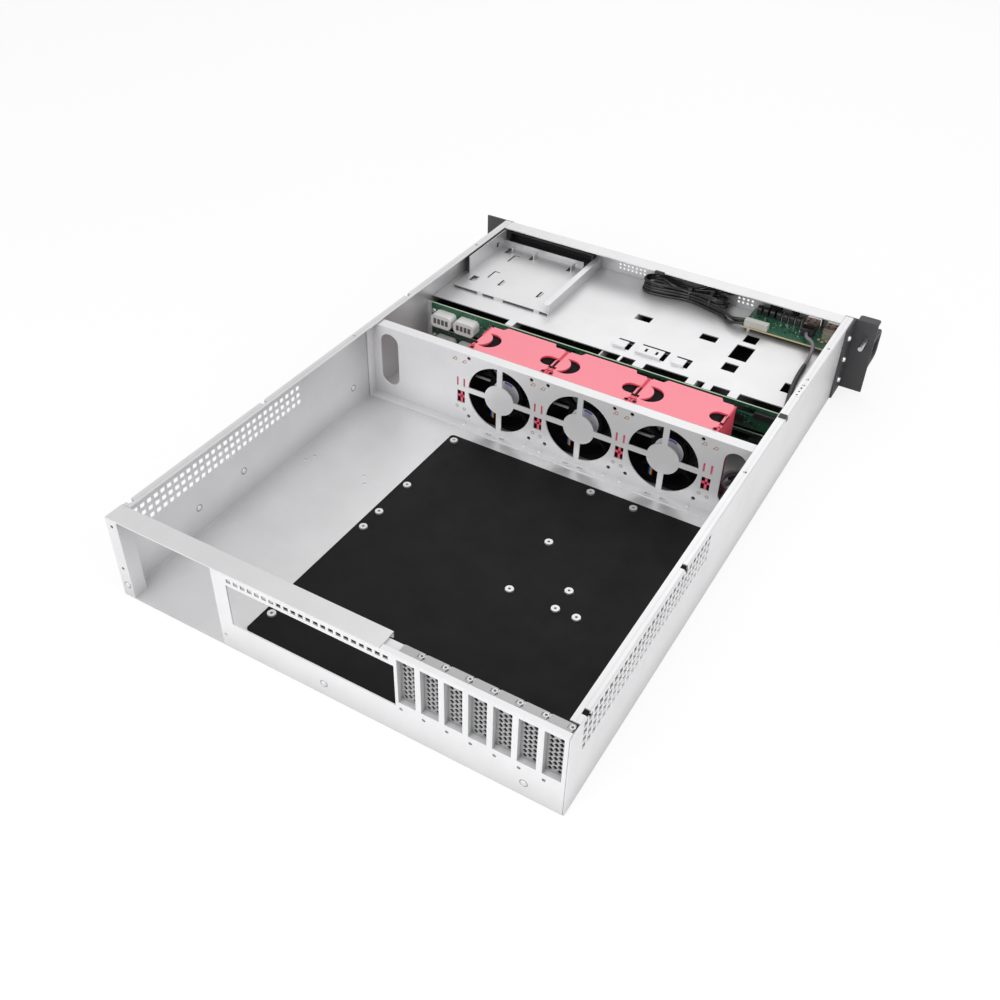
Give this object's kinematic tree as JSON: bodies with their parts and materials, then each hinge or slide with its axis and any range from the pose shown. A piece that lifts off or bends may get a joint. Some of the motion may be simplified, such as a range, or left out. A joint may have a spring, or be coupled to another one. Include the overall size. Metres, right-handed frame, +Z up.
{
  "type": "rackmount server case",
  "caption": "Empty low rackmount server case with its lid off: perforated walls and card-slot covers, wall of lift-out fans, front drive cage with trays, rack ears and handles.",
  "frame": {"origin": "centre of the bounding box at the underside of the floor", "axes": "+Y to the rear panel, +X to the power supply side (the left of the picture), +Z up"},
  "size_m": [0.4826, 0.69, 0.088],
  "materials": {
    "case_steel": "galvanised, satin",
    "ear_paint": "dark grey powder coat",
    "handle_metal": "dark anodised",
    "screw_steel": "bright zinc",
    "black_film": "matt insulating film",
    "carrier_plastic": "satin pink",
    "fan_plastic": "satin black",
    "board_green": "solder mask",
    "white_plastic": "satin white",
    "black_plastic": "satin black",
    "tray_metal": "satin black",
    "socket_metal": "plated",
    "cable_jacket": "satin",
    "lead_jacket": "satin"
  },
  "bodies": {
    "case": {"base_pan": "case_steel", "rear_panel": "case_steel", "rear_top_beam": "case_steel", "slot_covers": "case_steel", "board_standoffs": "case_steel", "fan_wall": "case_steel", "cage_divider_1": "case_steel", "cage_divider_2": "case_steel", "cage_divider_3": "case_steel", "cage_rail_left": "case_steel", "cage_rail_right": "case_steel", "cage_deck": "case_steel", "front_panel": "case_steel", "bay_pan": "case_steel", "slot_screws": "screw_steel", "rack_screws": "screw_steel", "board_insulator": "black_film", "backplane_upper": "board_green", "backplane_lower": "board_green", "front_board": "board_green", "power_sockets": "white_plastic", "cable_plug": "white_plastic", "drive_sockets": "black_plastic", "bay_blank": "black_plastic", "front_switches": "black_plastic", "rack_ear_left": "ear_paint", "rack_ear_right": "ear_paint", "handle_left": "handle_metal", "handle_right": "handle_metal", "usb_sockets": "socket_metal", "cable_hank": "cable_jacket", "front_lead": "lead_jacket", "lead_coil": "lead_jacket"},
    "carrier_1": {"fan_carrier_1": "carrier_plastic", "fan_frame_1": "fan_plastic"},
    "rotor_1": {"fan_rotor_1": "fan_plastic"},
    "carrier_2": {"fan_carrier_2": "carrier_plastic", "fan_frame_2": "fan_plastic"},
    "rotor_2": {"fan_rotor_2": "fan_plastic"},
    "carrier_3": {"fan_carrier_3": "carrier_plastic", "fan_frame_3": "fan_plastic"},
    "rotor_3": {"fan_rotor_3": "fan_plastic"},
    "tray_1": {"drive_tray_1": "tray_metal"},
    "lever_1": {"tray_lever_1": "black_plastic"},
    "tray_2": {"drive_tray_2": "tray_metal"},
    "lever_2": {"tray_lever_2": "black_plastic"},
    "tray_3": {"drive_tray_3": "tray_metal"},
    "lever_3": {"tray_lever_3": "black_plastic"},
    "tray_4": {"drive_tray_4": "tray_metal"},
    "lever_4": {"tray_lever_4": "black_plastic"},
    "tray_5": {"drive_tray_5": "tray_metal"},
    "lever_5": {"tray_lever_5": "black_plastic"},
    "tray_6": {"drive_tray_6": "tray_metal"},
    "lever_6": {"tray_lever_6": "black_plastic"},
    "tray_7": {"drive_tray_7": "tray_metal"},
    "lever_7": {"tray_lever_7": "black_plastic"},
    "tray_8": {"drive_tray_8": "tray_metal"},
    "lever_8": {"tray_lever_8": "black_plastic"},
    "power_button": {"power_button": "black_plastic"},
    "reset_button": {"reset_button": "black_plastic"}
  },
  "joints": [
    {"name": "carrier_1_lift", "type": "slide", "parent": "case", "child": "carrier_1", "axis": [0, 0, 1], "range_m": [0, 0.088]},
    {"name": "rotor_1_spin", "type": "hinge", "parent": "carrier_1", "child": "rotor_1", "pos_m": [0.0584, -0.059, 0.0438], "axis": [0, 1, 0], "continuous": true},
    {"name": "carrier_2_lift", "type": "slide", "parent": "case", "child": "carrier_2", "axis": [0, 0, 1], "range_m": [0, 0.088]},
    {"name": "rotor_2_spin", "type": "hinge", "parent": "carrier_2", "child": "rotor_2", "pos_m": [-0.032, -0.059, 0.0438], "axis": [0, 1, 0], "continuous": true},
    {"name": "carrier_3_lift", "type": "slide", "parent": "case", "child": "carrier_3", "axis": [0, 0, 1], "range_m": [0, 0.088]},
    {"name": "rotor_3_spin", "type": "hinge", "parent": "carrier_3", "child": "rotor_3", "pos_m": [-0.1224, -0.059, 0.0438], "axis": [0, 1, 0], "continuous": true},
    {"name": "tray_1_slide", "type": "slide", "parent": "case", "child": "tray_1", "axis": [0, -1, 0], "range_m": [0, 0.15]},
    {"name": "lever_1_swing", "type": "hinge", "parent": "tray_1", "child": "lever_1", "pos_m": [-0.20305, -0.3051, 0.0157], "axis": [0, 0, -1], "range_deg": [0, 90]},
    {"name": "tray_2_slide", "type": "slide", "parent": "case", "child": "tray_2", "axis": [0, -1, 0], "range_m": [0, 0.15]},
    {"name": "lever_2_swing", "type": "hinge", "parent": "tray_2", "child": "lever_2", "pos_m": [-0.09635, -0.3051, 0.0157], "axis": [0, 0, -1], "range_deg": [0, 90]},
    {"name": "tray_3_slide", "type": "slide", "parent": "case", "child": "tray_3", "axis": [0, -1, 0], "range_m": [0, 0.15]},
    {"name": "lever_3_swing", "type": "hinge", "parent": "tray_3", "child": "lever_3", "pos_m": [0.01035, -0.3051, 0.0157], "axis": [0, 0, -1], "range_deg": [0, 90]},
    {"name": "tray_4_slide", "type": "slide", "parent": "case", "child": "tray_4", "axis": [0, -1, 0], "range_m": [0, 0.15]},
    {"name": "lever_4_swing", "type": "hinge", "parent": "tray_4", "child": "lever_4", "pos_m": [0.11705, -0.3051, 0.0157], "axis": [0, 0, -1], "range_deg": [0, 90]},
    {"name": "tray_5_slide", "type": "slide", "parent": "case", "child": "tray_5", "axis": [0, -1, 0], "range_m": [0, 0.15]},
    {"name": "lever_5_swing", "type": "hinge", "parent": "tray_5", "child": "lever_5", "pos_m": [-0.20305, -0.3051, 0.046], "axis": [0, 0, -1], "range_deg": [0, 90]},
    {"name": "tray_6_slide", "type": "slide", "parent": "case", "child": "tray_6", "axis": [0, -1, 0], "range_m": [0, 0.15]},
    {"name": "lever_6_swing", "type": "hinge", "parent": "tray_6", "child": "lever_6", "pos_m": [-0.09635, -0.3051, 0.046], "axis": [0, 0, -1], "range_deg": [0, 90]},
    {"name": "tray_7_slide", "type": "slide", "parent": "case", "child": "tray_7", "axis": [0, -1, 0], "range_m": [0, 0.15]},
    {"name": "lever_7_swing", "type": "hinge", "parent": "tray_7", "child": "lever_7", "pos_m": [0.01035, -0.3051, 0.046], "axis": [0, 0, -1], "range_deg": [0, 90]},
    {"name": "tray_8_slide", "type": "slide", "parent": "case", "child": "tray_8", "axis": [0, -1, 0], "range_m": [0, 0.15]},
    {"name": "lever_8_swing", "type": "hinge", "parent": "tray_8", "child": "lever_8", "pos_m": [0.11705, -0.3051, 0.046], "axis": [0, 0, -1], "range_deg": [0, 90]},
    {"name": "power_button_press", "type": "slide", "parent": "case", "child": "power_button", "axis": [0, 1, 0], "range_m": [0, 0.0012], "stiffness_N_per_m": 600},
    {"name": "reset_button_press", "type": "slide", "parent": "case", "child": "reset_button", "axis": [0, 1, 0], "range_m": [0, 0.0012], "stiffness_N_per_m": 600}
  ]
}
